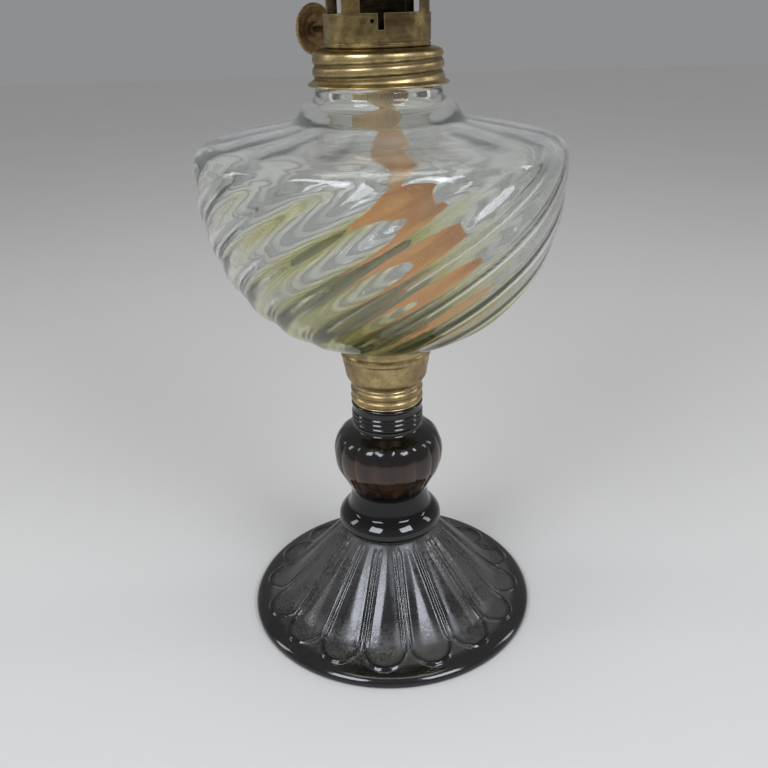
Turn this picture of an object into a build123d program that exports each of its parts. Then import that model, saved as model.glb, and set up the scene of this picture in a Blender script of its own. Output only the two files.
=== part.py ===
from build123d import *

from math import asin, cos, pi, radians, sin, sqrt
import os

# Table oil lamp: pressed glass stand, swirled glass font, flat-wick burner and chimney.
# Millimetres, +Z up. The origin is the centre of the foot, on the table. -Y is the front.

os.makedirs("parts", exist_ok=True)

# ---- Fits ----
cement_gap = 0.10       # glass to plaster and plaster to brass
screw_gap = 0.35        # burner ferrule to collar throat
shaft_gap = 0.06        # wheel shaft in its holes, on the radius
prong_gap = 0.30        # prong to chimney
wick_gap = 0.45         # wick to the inside of its tube, each side
tooth_gap = 0.15        # spur wheel tips to the wick
sheet = 0.5             # brass sheet thickness
seam = 0.04             # step where two stretches of the font's mould meet

# ---- Glass stand ----
rim_r = 57.5            # foot, outer radius
rim_h = 4.8             # rounded edge of the foot
foot_ring = 5.0         # width of the flat ring that it stands on
flare_r = 43.0          # where the straight flare runs into the foot
flare_z = 8.2
flare_top_r = 17.6
flare_top_z = 36.8
stand_wall = 4.0        # glass thickness under the flare, measured upright
petals = 16
petal_turn = -4.0       # degrees from the front to the middle of the first petal
petal_border = 4.7      # plain edge of the foot outside the petals
petal_r = rim_r - petal_border
petal_inner_r = 19.5
petal_bead = 1.2        # width of the raised bead round each petal
petal_rise = 0.8        # height of that bead
petal_space = 0.8       # groove between two petals
ring_r = 20.6
ring_h = 7.4
waist_r = 15.2
waist_h = 8.4           # from the ring to the bulb
bulb_r = 21.3
bulb_h = 27.0
flute_w = 1.0           # grooves down the bulb
flute_depth = 0.7
neck_r = 13.1
neck_h = 11.4           # bare glass between bulb and brass
neck_ring = 0.5         # how far its thin rings stand out
peg_h = 6.2             # glass peg inside the brass sleeve
peg_inset = 1.4         # step from the neck in to the peg

# ---- Brass connector ----
sleeve_r = 13.15
sleeve_h = 7.6
cup_r = 16.4
cup_h = 16.8
bead = 0.5              # how far a rolled bead stands out

# ---- Glass font ----
font_r = 62.8
font_depth = 67.0       # from its widest line down to the pole of the bowl
pole_drop = 2.0         # the pole lies this far below the rim of the cup
bowl_power = 2.4        # fullness of the bowl, 2 is an ellipse
font_wall = 3.0
font_floor = 3.0        # floor of the bowl above the rim of the cup
swirls = 16
swirl_height = 1.1      # rib height above the mean surface
swirl_turn = 106.0      # degrees that a rib turns from the bottom to the shoulder
swirl_start = 2.0       # ribs start above the rim of the cup
swirl_end = 3.0         # and end above the widest line
font_peg_h = 11.0
shoulder_h = 14.0       # from the widest line to the root of the neck
neck_root_r = 27.0
throat_r = 17.4         # bore of the glass neck
mouth_r = 19.0          # glass inside the collar
mouth_h = 10.2
oil_depth = 4.0

# ---- Collar ----
collar_r = 20.9
collar_h = 12.0
flange_r = 23.2
collar_grooves = 2
groove_z = 3.8          # lowest groove above the flange
groove_pitch = 3.75
ridge = 0.6             # depth of the grooves
screw_r = 15.7          # burner screw, standard 1 1/4 inch size

# ---- Burner ----
burner_turn = 138.0     # direction of the wheel shaft from +X, degrees
drum_r = 17.2
drum_h = 14.8
skirt_h = 10.0          # closed height below the windows
post_w = 6.5
post_turn = 62.0        # direction of one post from +X, degrees
ferrule_h = 9.0
gallery_r = 38.9
gallery_lip = 1.8
vents = 20              # holes in each of the two rings
vent_r = 1.3
deflector_r = 24.5
deflector_h = 26.4
flame_slot = 6.4
prong_h = 13.0
prong_w = 9.0

# ---- Wick and its drive ----
wick_w = 25.4
wick_t = 2.0
wick_above = 1.5        # wick above the tube at rest
tube_top = 21.2         # tube above the gallery
tube_below = 8.6        # tube below the drum floor
shaft_r = 1.1
shaft_z = 5.2           # shaft above the drum floor
shaft_off = 4.4         # shaft centre from the middle of the wick
spur_wheels = 4
spur_t = 1.0
spur_teeth = 12
wheel_r = 8.5
wheel_t = 1.4
wheel_out = 32.6        # inner face of the thumbwheel from the lamp's axis
tail_reach = 21.0       # how far the wick swings off the axis
wick_down = 4.0         # travel of the wick below its rest height
tail_gap = 0.6          # wick to the old oil at its lowest

# ---- Chimney ----
chimney_fit_r = 38.0    # standard 3 inch fitter
chimney_h = 214.0
chimney_bulge_r = 45.5
chimney_top_r = 24.5
chimney_wall = 1.8

# ---- Levels, stacked from the table up ----
ring_z = flare_top_z + 0.6
waist_z = ring_z + ring_h
bulb_z = waist_z + waist_h
neck_z = bulb_z + bulb_h
sleeve_z = neck_z + neck_h
cup_z = sleeve_z + sleeve_h
bowl_z = cup_z + cup_h              # underside of the bowl, on the rim of the cup
widest_z = bowl_z + font_depth - pole_drop
root_z = widest_z + shoulder_h
collar_z = root_z + 9.4
drum_z = collar_z + collar_h
gallery_z = drum_z + drum_h
plate_z = gallery_z + sheet
shaft_level = drum_z + shaft_z
shaft_y = -shaft_off                # the shaft runs behind the wick
burner_frame = Plane((0, 0, 0), x_dir=(cos(radians(burner_turn)), sin(radians(burner_turn)), 0))


def turned(*runs):
    """Turn a closed outline about Z. Each run lists (radius, height) points: one is a corner,
    three are an arc and more are a smooth curve. Straight lines join the runs."""
    edges = []
    for number, run in enumerate(runs):
        spots = [Vector(r, 0, z) for r, z in run]
        if len(spots) == 3:
            edges.append(Edge.make_three_point_arc(*spots))
        elif len(spots) > 3:
            edges.append(Edge.make_spline(spots))
        r, z = runs[(number + 1) % len(runs)][0]
        if (spots[-1] - Vector(r, 0, z)).length > 1e-6:
            edges.append(Edge.make_line(spots[-1], Vector(r, 0, z)))
    return Solid.revolve(Face(Wire(edges)), 360, Axis.Z)


def tube(outer, inner, low, high):
    """Plain ring with square edges."""
    return turned([(inner, low)], [(outer, low)], [(outer, high)], [(inner, high)])


def around(count, shape, start=0.0):
    """Copies of a shape spread evenly about Z."""
    return [shape.rotate(Axis.Z, start + 360 * k / count) for k in range(count)]


def block(x, y, z_low, z_high, at=(0, 0)):
    """Box with its middle at a place in the plan, between two heights."""
    return Pos(at[0], at[1], (z_low + z_high) / 2) * Box(x, y, z_high - z_low)


def in_burner(shape):
    """Turn a shape made along X (shaft) and Y (through the wick) to the burner's own direction."""
    return burner_frame.location * shape


# ---------------------------------------------------------------- glass stand

def flare_outline(drop):
    """Top of the foot from its edge up the flare, lowered by drop."""
    edge = rim_r - 1.4
    foot = [(edge, rim_h - 0.7), (petal_r, rim_h + 0.4), ((petal_r + flare_r) / 2, rim_h + 1.6),
            (flare_r, flare_z)]
    return [(r, z - drop) for r, z in foot], (flare_top_r, flare_top_z - drop)


def make_petal(inset=0.0):
    """Upright prism with a petal's plan, drawn in by inset: narrow at the ring, round at the foot."""
    pitch = pi / petals
    end_r = (petal_r * sin(pitch) - petal_space / 2) / (1 + sin(pitch))
    far, near = petal_r - end_r, petal_inner_r
    end_r, near_r = end_r - inset, near * sin(pitch) - petal_space / 2 - inset
    lean = asin((end_r - near_r) / (far - near))
    side = [(near - near_r * sin(lean), near_r * cos(lean)), (far - end_r * sin(lean), end_r * cos(lean))]
    outline = Wire([
        Edge.make_line(side[0], side[1]),
        Edge.make_three_point_arc(side[1], (far + end_r, 0), (side[1][0], -side[1][1])),
        Edge.make_line((side[1][0], -side[1][1]), (side[0][0], -side[0][1])),
        Edge.make_line((side[0][0], -side[0][1]), side[0]),
    ])
    return extrude(Face(outline), ring_z, dir=(0, 0, 1))


def petal_layer():
    """Layer on top of the flare, as thick as the petals' beads are high."""
    low, low_top = flare_outline(petal_rise)
    high, high_top = flare_outline(0)
    return turned(low, [low_top], [high_top], high[::-1])


def make_flute():
    """Thin upright crescent that cuts one groove down the bulb."""
    low, high = bulb_z + 2.5, neck_z - 1.5
    middle = bulb_z + 0.62 * bulb_h
    face = Face(Wire([
        Edge.make_three_point_arc((waist_r + 0.9, 0, low), (bulb_r - flute_depth, 0, middle),
                                  (neck_r + 2.9, 0, high)),
        Edge.make_line((neck_r + 2.9, 0, high), (bulb_r + 3, 0, high)),
        Edge.make_line((bulb_r + 3, 0, high), (bulb_r + 3, 0, low)),
        Edge.make_line((bulb_r + 3, 0, low), (waist_r + 0.9, 0, low)),
    ]))
    return extrude(face, flute_w / 2, dir=(0, 1, 0), both=True)


def make_pedestal():
    """Stand: rim, petalled flare, ring, waist, fluted bulb and ringed neck, hollow underneath."""
    foot, top = flare_outline(petal_rise)
    edge_r, edge_z = foot[0]
    bulb = [(waist_r, bulb_z), (bulb_r - 2.4, bulb_z + 7.5), (bulb_r, bulb_z + 0.62 * bulb_h),
            (bulb_r - 2.0, bulb_z + 0.87 * bulb_h), (neck_r + 0.8, neck_z)]
    body = turned(
        [(0, 0)], [(rim_r - 1.2, 0)],
        [(rim_r - 1.2, 0), (rim_r, 1.5), (edge_r, edge_z)],
        foot, [top], [(flare_top_r, ring_z)],
        [(ring_r - 0.9, ring_z), (ring_r, ring_z + 2.4), (ring_r - 1.6, ring_z + 0.82 * ring_h)],
        [(waist_r + 1.9, waist_z), (waist_r + 0.5, waist_z + waist_h / 2), (waist_r, bulb_z)],
        bulb, [(neck_r, neck_z + 0.4)], [(neck_r, sleeve_z)],
        [(neck_r - peg_inset, sleeve_z)], [(neck_r - peg_inset, sleeve_z + peg_h)], [(0, sleeve_z + peg_h)])
    rings = [Pos(0, 0, neck_z + neck_h * f) * Torus(neck_r, neck_ring) for f in (0.27, 0.44, 0.6, 0.93)]
    inner, inner_top = flare_outline(petal_rise + stand_wall)
    hollow = turned(
        [(0, -1)], [(rim_r - foot_ring, -1)], [(rim_r - foot_ring, 0.4)],
        [inner[-1]], [(inner_top[0] - 3, inner_top[1])], [(8.0, inner_top[1] + 4.8)],
        [(0, inner_top[1] + 4.8)])
    bead_round_petal = petal_layer() & (make_petal() - make_petal(petal_bead))
    beads = around(petals, bead_round_petal, petal_turn - 90)
    flutes = around(petals, make_flute(), petal_turn - 90 + 180 / petals)
    return body + rings + beads - hollow - flutes


# ---------------------------------------------------------------- connector

def beaded_wall(radius, low, high, beads, height):
    """Outer side of a brass wall with rolled beads at the given heights, from low to high."""
    runs = [[(radius, low)]]
    for middle in beads:
        runs.append([(radius, middle - height / 2), (radius + bead, middle), (radius, middle + height / 2)])
    return runs + [[(radius, high)]]


def make_connector_sleeve():
    """Brass sleeve round the stand's neck, with two rolled beads and a turned-in top."""
    low, high = sleeve_z, cup_z
    beads = [low + 1.7, low + 5.2]
    inner = sleeve_r - sheet
    return turned(
        *beaded_wall(sleeve_r, low, high, beads, 2.6),
        [(inner - 4, high)], [(inner - 4, high - sheet)], [(inner, high - sheet)], [(inner, low)])


def make_connector_cup():
    """Brass cup under the font: flat floor, curved side, rolled bead under its rim."""
    low, high = cup_z, bowl_z
    foot_r, knee_r = sleeve_r + 0.4, cup_r - 0.9
    knee, wall_low = low + 0.33 * cup_h, low + 0.58 * cup_h
    return turned(
        [(foot_r, low)],
        [(foot_r, low + 0.6), (knee_r - 0.4, low + 0.15 * cup_h), (knee_r, knee)],
        *beaded_wall(cup_r, wall_low, high, [high - 4.6], 3.0),
        [(cup_r - sheet, high)], [(cup_r - sheet, wall_low)], [(knee_r - sheet, knee)],
        [(foot_r - sheet, low + 1.0)], [(foot_r - sheet, low + sheet)],
        [(sleeve_r - 4.5, low + sheet)], [(sleeve_r - 4.5, low)])


def make_stem_plaster():
    return tube(sleeve_r - sheet - cement_gap, neck_r - peg_inset + cement_gap, sleeve_z, cup_z - sheet - 0.2)


def make_font_plaster():
    """Plaster bed between the font's peg and the cup."""
    low, high = cup_z + sheet, bowl_z - 0.4
    return tube(sleeve_r + 0.4 - sheet - cement_gap, peg_r() + cement_gap, low, high)


def peg_r():
    return sleeve_r - 2.4


# ---------------------------------------------------------------- font

def bowl_radius(z, grow=0.0):
    """Mean outer radius of the bowl at a height, a superellipse about the widest line."""
    share = min(abs(z - widest_z) / (font_depth + grow), 1.0)
    return (font_r + grow) * sqrt(1 - share ** bowl_power)


def bowl_heights(low, high, count):
    """Heights that crowd towards the bottom of the bowl, where it curves most."""
    start = asin(min((widest_z - low) / font_depth, 1.0))
    return [widest_z - font_depth * sin(start * (1 - k / count)) for k in range(count)] + [high]


def rib_height(z, low, high):
    """Rib height fades to nothing at both ends of the swirl."""
    share = (z - low) / (high - low)
    return swirl_height * min(1.0, sin(pi * share) * 1.9)


def swirl_ring(z, low, high):
    """Closed wavy curve at one height of the bowl."""
    turn = radians(swirl_turn) * (z - low) / (high - low)
    mean, tall = bowl_radius(z), rib_height(z, low, high)
    steps = swirls * 8
    spots = []
    for k in range(steps):
        angle = 2 * pi * k / steps
        r = mean + tall / 2 * cos(swirls * (angle - turn))
        spots.append((r * cos(angle), r * sin(angle), z))
    return Wire([Edge.make_spline(spots, periodic=True)])


def font_cavity():
    """Inside of the font up through the neck."""
    floor = bowl_z + font_floor
    heights = bowl_heights(floor + 1.6, widest_z, 7)
    side = [(bowl_radius(z, -font_wall), z) for z in heights]
    corner = widest_z + 0.42 * shoulder_h
    return turned(
        [(0, floor)], [(side[0][0] - 3, floor)], side,
        [(font_r - font_wall, widest_z), (font_r - font_wall - 1.2, corner - 2.2),
         (font_r - font_wall - 5.5, corner)],
        [(neck_root_r - 3, root_z - 1.6)],
        [(throat_r, root_z + 4)], [(throat_r, collar_z + mouth_h)], [(throat_r, collar_z + mouth_h + 5)],
        [(0, collar_z + mouth_h + 5)])


def make_font():
    """Clear glass font: swirled bowl, sloping shoulder, stepped neck and a peg below."""
    low, high = bowl_z + swirl_start, widest_z + swirl_end
    swirl = Solid.make_loft([swirl_ring(z, low, high) for z in bowl_heights(low, high, 16)], ruled=True)
    below = turned(
        [(0, bowl_z - font_peg_h)], [(peg_r(), bowl_z - font_peg_h)], [(peg_r(), bowl_z)],
        [(cup_r - 0.2, bowl_z)], [(bowl_radius(low) - seam, low)], [(0, low)])
    corner = widest_z + 0.42 * shoulder_h
    above = turned(
        [(0, high)],
        [(bowl_radius(high) - seam, high), (font_r - 1.6, corner), (font_r - 6.5, corner + 2.2)],
        [(neck_root_r + 5, root_z - 1.7), (neck_root_r + 1.4, root_z - 0.8), (neck_root_r, root_z + 0.8)],
        [(neck_root_r - 1.4, root_z + 3.6)], [(neck_root_r - 3.4, root_z + 4.6)],
        [(neck_root_r - 3.8, collar_z - 0.6)], [(mouth_r, collar_z)], [(mouth_r, collar_z + mouth_h)],
        [(0, collar_z + mouth_h)])
    return swirl + below + above - font_cavity()


def make_oil_residue():
    """Shallow pool of old oil on the floor of the font."""
    level = bowl_z + font_floor + oil_depth
    return font_cavity() & Pos(0, 0, level - font_r) * Cylinder(font_r, 2 * font_r)


# ---------------------------------------------------------------- collar

def make_collar():
    """Brass collar: flange, rolled grooves, rounded top and a throat for the burner's screw."""
    wall, top = collar_r, drum_z
    throat = screw_r + screw_gap
    grooves = [collar_z + groove_z + groove_pitch * k for k in range(collar_grooves)]
    skirt = collar_z + 1.5
    ridges = [[(wall + ridge, skirt), (wall + ridge, (skirt + grooves[0]) / 2), (wall, grooves[0])]]
    for low, high in zip(grooves, grooves[1:] + [top - 1.6]):
        ridges.append([(wall, low), (wall + ridge, (low + high) / 2), (wall, high)])
    return turned(
        [(flange_r, collar_z)], [(flange_r, collar_z + sheet)], *ridges,
        [(wall, top - 1.6), (wall - 0.55, top - 0.6), (wall - 2.0, top)],
        [(throat, top)], [(throat, top - 8.5)], [(throat + sheet, top - 8.5)], [(throat + sheet, top - 1.2)],
        [(wall - sheet - 1.6, top - 1.2)], [(wall - sheet, top - 2.8)], [(wall - sheet, collar_z + 1.2)],
        [(flange_r - 0.3, collar_z)])


def make_collar_plaster():
    return tube(collar_r - sheet - cement_gap, mouth_r + cement_gap, collar_z + 0.5, collar_z + mouth_h - 1)


# ---------------------------------------------------------------- burner

def shaft_hole():
    """Bore for the wheel shaft, right through along the shaft."""
    return in_burner(Pos(0, shaft_y, shaft_level) * Rot(0, 90, 0) * Cylinder(shaft_r + shaft_gap, 60))


def tube_slot(extra=0.0):
    """Upright block with the outer section of the wick tube."""
    length, width = tube_size(extra)
    return in_burner(block(length, width, drum_z - 30, plate_z + 60))


def tube_size(extra=0.0):
    inner_w, inner_t = wick_w + 2 * wick_gap, wick_t + 2 * wick_gap
    return inner_w + 2 * sheet + extra, inner_t + 2 * sheet + extra


def make_burner_drum():
    """Drum: floor with a slot for the wick tube, skirt, and posts between four wide windows."""
    sill = drum_z + skirt_h
    body = tube(drum_r, drum_r - sheet, drum_z, gallery_z) + Pos(0, 0, drum_z + sheet / 2) * Cylinder(
        drum_r, sheet)
    window = tube(drum_r + 2, drum_r - 3, sill, gallery_z + 1)
    posts = [block(8, post_w, sill - 1, gallery_z + 2, at=(drum_r, 0)).rotate(Axis.Z, post_turn + 90 * k)
             for k in range(4)]
    notch = block(6, 1.9, sill - 4.7, sill + 1, at=(drum_r, 0)).rotate(Axis.Z, -86)
    peephole = (Pos(drum_r, 0, sill - 2.2) * Rot(0, 90, 0) * Cylinder(0.7, 6)).rotate(Axis.Z, -95)
    return body - (window - posts) - notch - peephole - tube_slot(0.1) - shaft_hole()


def make_burner_ferrule():
    return tube(screw_r, screw_r - sheet, drum_z - ferrule_h, drum_z)


def make_wick_tube():
    """Flat tube with a window for each spur wheel in one side."""
    length, width = tube_size()
    low, high = drum_z - tube_below, plate_z + tube_top
    body = block(length, width, low, high) - block(length - 2 * sheet, width - 2 * sheet, low - 1, high + 1)
    reach = spur_r()
    tall = 2 * sqrt(reach ** 2 - (shaft_off - width / 2) ** 2) + 1.2
    windows = [block(spur_t + 0.8, 2, shaft_level - tall / 2, shaft_level + tall / 2, at=(x, -width / 2))
               for x in spur_places()]
    return in_burner(body - windows)


def make_ratchet_housing():
    """Box over the spur wheels, open towards the wick tube, with a hole for the shaft in each end."""
    depth = shaft_off + spur_r() + 0.7
    near = tube_size()[1] / 2 + 0.02
    length, tall = wick_w + 2.4, 2 * spur_r() + 2.0
    low, high = shaft_level - tall / 2, shaft_level + tall / 2
    body = block(length, depth - near, low, high, at=(0, -(depth + near) / 2))
    room = block(length - 2 * sheet, depth - near, low + sheet, high - sheet,
                 at=(0, sheet - (depth + near) / 2))
    return in_burner(body - room) - shaft_hole()


def make_gallery():
    """Wide plate on the posts, with two rings of vents and an upturned rim."""
    body = turned(
        [(drum_r - 1.2, gallery_z)], [(gallery_r - 0.4, gallery_z)],
        [(gallery_r, gallery_z + 0.4)], [(gallery_r, plate_z + gallery_lip)],
        [(gallery_r - sheet, plate_z + gallery_lip)], [(gallery_r - sheet, plate_z)],
        [(drum_r - 1.2, plate_z)])
    inner, outer = deflector_r + 5.2, deflector_r + 9.4
    hole = Cylinder(vent_r, 4)
    vent_holes = around(vents, Pos(inner, 0, gallery_z) * hole)
    vent_holes += around(vents, Pos(outer, 0, gallery_z) * hole, 180 / vents)
    return body - vent_holes


def make_prong():
    """Spring prong: stands on the gallery's rim, dips towards the glass and flares at its tip."""
    near = chimney_fit_r + prong_gap
    low = plate_z + gallery_lip
    rise = [(near, low + 0.45 * prong_h), (near + 0.1, low + 0.7 * prong_h), (near + 1.8, low + prong_h)]
    strip = turned(
        [(gallery_r - sheet, low)], [(gallery_r, low)],
        [(near + sheet, low + 0.45 * prong_h)],
        [(near + sheet + 0.1, low + 0.7 * prong_h)], [(near + sheet + 1.8, low + prong_h)],
        rise[::-1])
    wedge = block(20, prong_w, low - 1, low + prong_h + 1, at=(near, 0))
    return strip & wedge


def make_deflector():
    """Dome over the wick tube with a slot for the flame."""
    r, high = deflector_r, plate_z + deflector_h
    outer = [(r, plate_z + sheet), (r - 0.4, plate_z + 0.4 * deflector_h),
             (r - 4, plate_z + 0.73 * deflector_h), (r - 12, plate_z + 0.95 * deflector_h), (0, high)]
    inner = [(radius - sheet if radius else 0, z - sheet * (z > plate_z + 2)) for radius, z in outer]
    body = turned(
        [(r + 2.6, plate_z)], [(r + 2.6, plate_z + sheet)], outer, [(0, high - sheet)], inner[::-1],
        [(r - sheet, plate_z)])
    slot = block(wick_w + 3.2, flame_slot, plate_z + 0.6 * deflector_h, high + 5)
    return body - in_burner(slot)


# ---------------------------------------------------------------- wick drive

def spur_r():
    return shaft_off - wick_t / 2 - tooth_gap


def spur_places():
    """Places of the spur wheels along the shaft, from the middle of the lamp."""
    spacing = (wick_w - 4.0) / spur_wheels
    return [spacing * (k - (spur_wheels - 1) / 2) for k in range(spur_wheels)]


def along_shaft(shape, start):
    """Stand a shape made on the XY plane upright on the shaft, starting at a place along it."""
    return in_burner(Pos(start, shaft_y, shaft_level) * Rot(0, 90, 0) * shape)


def make_spur_wheel(place):
    tip, root = spur_r(), spur_r() - 1.1
    corners = []
    for k in range(spur_teeth):
        angle = 2 * pi * (k + 0.5) / spur_teeth
        valley = angle + pi / spur_teeth
        corners += [(tip * cos(angle), tip * sin(angle)), (root * cos(valley), root * sin(valley))]
    blank = extrude(make_face(Polyline(*corners, close=True)), spur_t) - Cylinder(shaft_r + 0.01, 9)
    return along_shaft(blank, place - spur_t / 2)


def make_wheel_shaft():
    start = -wick_w / 2 - 2.2
    length = wheel_out + wheel_t + 0.8 - start
    return along_shaft(Pos(0, 0, length / 2) * Cylinder(shaft_r, length), start)


def make_thumbwheel():
    """Round thumbwheel with a thick rim, a thin web and a hub on the shaft."""
    hub_r, rim = shaft_r + 1.4, 1.1
    blank = turned(
        [(shaft_r + 0.01, -0.6)], [(hub_r, -0.6)], [(hub_r, 0.35)], [(wheel_r - rim, 0.35)],
        [(wheel_r - rim + 0.3, 0)], [(wheel_r - 0.3, 0)], [(wheel_r, 0.3)], [(wheel_r, wheel_t - 0.3)],
        [(wheel_r - 0.3, wheel_t)], [(wheel_r - rim + 0.3, wheel_t)], [(wheel_r - rim, wheel_t - 0.35)],
        [(hub_r, wheel_t - 0.35)], [(hub_r, wheel_t + 0.4)], [(shaft_r + 0.01, wheel_t + 0.4)])
    return along_shaft(blank, wheel_out)


def make_wick():
    """Flat wick: straight through the tube and the neck, then a loose tail in the bowl."""
    top = plate_z + tube_top + wick_above
    straight_end = root_z + 1.0
    low = bowl_z + font_floor + oil_depth + tail_gap + wick_down + wick_t / 2
    swing = low + 0.42 * (straight_end - low)
    path = Wire([
        Edge.make_line((0, 0, top), (0, 0, straight_end)),
        Edge.make_spline([(0, 0, straight_end), (0, -0.68 * tail_reach, swing + 12),
                          (0, -tail_reach, swing - 6), (0, -0.55 * tail_reach, low + 3.0),
                          (0, 0.2 * tail_reach, low)],
                         tangents=[(0, 0, -1), (0, 1, -0.05)]),
    ])
    strip = thicken_strip(path)
    return in_burner(strip)


def thicken_strip(path):
    """Give a path in the YZ plane the wick's thickness and width."""
    band = offset_band(path, wick_t / 2)
    return extrude(band, wick_w / 2, dir=(1, 0, 0), both=True)


def offset_band(path, half):
    count = 24
    spots = [(path @ (k / count), path % (k / count)) for k in range(count + 1)]
    left = [Vector(0, p.Y - half * t.Z, p.Z + half * t.Y) for p, t in spots]
    right = [Vector(0, p.Y + half * t.Z, p.Z - half * t.Y) for p, t in spots]
    return Face(Wire([
        Edge.make_spline(left), Edge.make_line(left[-1], right[-1]),
        Edge.make_spline(right[::-1]), Edge.make_line(right[0], left[0])]))


# ---------------------------------------------------------------- chimney

def make_chimney():
    """Glass chimney: straight fitter, wide bulge round the flame and a tall tapering flue."""
    r, bulge, top = chimney_fit_r, chimney_bulge_r, chimney_top_r
    high = plate_z + chimney_h
    fitter = plate_z + 15.0
    outer = [(r, fitter), (bulge - 2.2, fitter + 14), (bulge, fitter + 30), (bulge - 5, fitter + 54),
             (top + 8, fitter + 88), (top + 2.2, fitter + 120), (top, high)]
    inner = [(radius - chimney_wall, z) for radius, z in outer]
    return turned([(r - chimney_wall, plate_z)], [(r, plate_z)], outer, inner[::-1])


# ---------------------------------------------------------------- all nodes

nodes = {
    "pedestal": make_pedestal(),
    "stem_plaster": make_stem_plaster(),
    "connector_sleeve": make_connector_sleeve(),
    "connector_cup": make_connector_cup(),
    "font_plaster": make_font_plaster(),
    "font": make_font(),
    "oil_residue": make_oil_residue(),
    "collar_plaster": make_collar_plaster(),
    "collar": make_collar(),
    "burner_ferrule": make_burner_ferrule(),
    "burner_drum": make_burner_drum(),
    "wick_tube": make_wick_tube(),
    "ratchet_housing": make_ratchet_housing(),
    "gallery": make_gallery(),
    "deflector": make_deflector(),
    "thumbwheel": make_thumbwheel(),
    "wheel_shaft": make_wheel_shaft(),
    "wick": make_wick(),
    "chimney": make_chimney(),
}
for number, place in enumerate(spur_places(), start=1):
    nodes[f"spur_wheel_{number}"] = make_spur_wheel(place)
for number, prong in enumerate(around(4, make_prong(), post_turn + 45), start=1):
    nodes[f"prong_{number}"] = prong

for name, shape in nodes.items():
    shape.label = name
    export_step(shape, f"parts/{name}.step")
    print(name, round(shape.volume), "mm3")
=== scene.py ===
import bpy
import bmesh
from math import atan2, cos, degrees, pi, radians, sin, sqrt
from mathutils import Matrix, Vector


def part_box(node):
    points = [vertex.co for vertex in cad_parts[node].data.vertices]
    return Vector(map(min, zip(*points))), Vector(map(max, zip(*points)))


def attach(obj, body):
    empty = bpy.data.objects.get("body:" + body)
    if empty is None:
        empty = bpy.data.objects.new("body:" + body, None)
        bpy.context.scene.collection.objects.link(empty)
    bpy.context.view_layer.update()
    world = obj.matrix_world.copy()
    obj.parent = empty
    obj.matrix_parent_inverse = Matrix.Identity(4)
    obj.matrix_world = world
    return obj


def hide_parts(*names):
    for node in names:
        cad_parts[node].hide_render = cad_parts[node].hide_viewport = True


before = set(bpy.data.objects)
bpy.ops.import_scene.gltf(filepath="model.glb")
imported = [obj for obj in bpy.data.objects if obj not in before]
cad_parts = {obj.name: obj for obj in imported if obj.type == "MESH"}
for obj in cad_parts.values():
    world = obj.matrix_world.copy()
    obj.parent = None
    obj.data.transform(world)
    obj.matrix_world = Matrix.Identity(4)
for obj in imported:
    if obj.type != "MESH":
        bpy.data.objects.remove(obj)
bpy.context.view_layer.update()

# Oil lamp: pressed glass stand, swirled font, flat-wick burner and chimney.
# Lengths in the dictionaries are millimetres, and angles are degrees.

mm = 0.001
print("frame loaded:", len(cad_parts), "CAD nodes")


# where the CAD pieces are

def bottomOf(node):
    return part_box(node)[0].z / mm


def topOf(node):
    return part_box(node)[1].z / mm


def spanOf(node):
    return bottomOf(node), topOf(node)


def reachOf(node):
    low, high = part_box(node)
    return (high.x - low.x) / 2 / mm


# the burner is turned on the lamp: its own x runs along the wheel shaft
burnerTurn = 138.0
burnerPlace = Matrix.Rotation(radians(burnerTurn), 4, "Z") @ Matrix.Scale(mm, 4)


# a socket that adds and multiplies like a number, in shader trees and geometry trees

class Flow:
    def __init__(self, tree, socket):
        self.tree, self.socket = tree, socket

    def math(self, operation, *others):
        node = self.tree.nodes.new("ShaderNodeMath")
        node.operation = operation
        for slot, value in zip(node.inputs, (self,) + others):
            setSocket(self.tree, slot, value)
        return Flow(self.tree, node.outputs[0])

    def __add__(self, other):
        return self.math("ADD", other)

    def __sub__(self, other):
        return self.math("SUBTRACT", other)

    def __mul__(self, other):
        return self.math("MULTIPLY", other)

    def __truediv__(self, other):
        return self.math("DIVIDE", other)

    def __pow__(self, other):
        return self.math("POWER", other)

    __radd__ = __add__
    __rmul__ = __mul__

    def __rsub__(self, other):
        return self * -1 + other

    def __rtruediv__(self, other):
        return self ** -1.0 * other

    def sin(self):
        return self.math("SINE")

    def cos(self):
        return self.math("COSINE")

    def abs(self):
        return self.math("ABSOLUTE")

    def fract(self):
        return self.math("FRACT")

    def rise(self, start, end, low=0.0, high=1.0):
        # smooth step from low to high as the value goes from start to end
        node = self.tree.nodes.new("ShaderNodeMapRange")
        node.interpolation_type = "SMOOTHSTEP"
        for slot, value in zip(node.inputs, (self, start, end, low, high)):
            setSocket(self.tree, slot, value)
        return Flow(self.tree, node.outputs[0])

    def band(self, start, full, fade, end):
        # 1 from full to fade, and 0 before start and after end
        return self.rise(start, full) * (1 - self.rise(fade, end))


def setSocket(tree, slot, value):
    if isinstance(value, Flow):
        tree.links.new(value.socket, slot)
    elif value is not None:
        slot.default_value = value


def addNode(tree, kind, settings=None, **inputs):
    # a node with its settings, and inputs given by name with _ for a space
    node = tree.nodes.new(kind)
    for key, value in (settings or {}).items():
        setattr(node, key, value)
    for key, value in inputs.items():
        setSocket(tree, node.inputs[key.replace("_", " ")], value)
    return node


def flow(node, output=0):
    return Flow(node.id_data, node.outputs[output])


def scaled(vector, scale):
    return flow(addNode(scale.tree, "ShaderNodeVectorMath", {"operation": "SCALE"}, Vector=vector, Scale=scale))


def splitUp(value):
    # x, y and z of a vector
    parts = addNode(value.tree, "ShaderNodeSeparateXYZ", Vector=value)
    return [flow(parts, k) for k in range(3)]


# outlines and turned pieces

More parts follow.
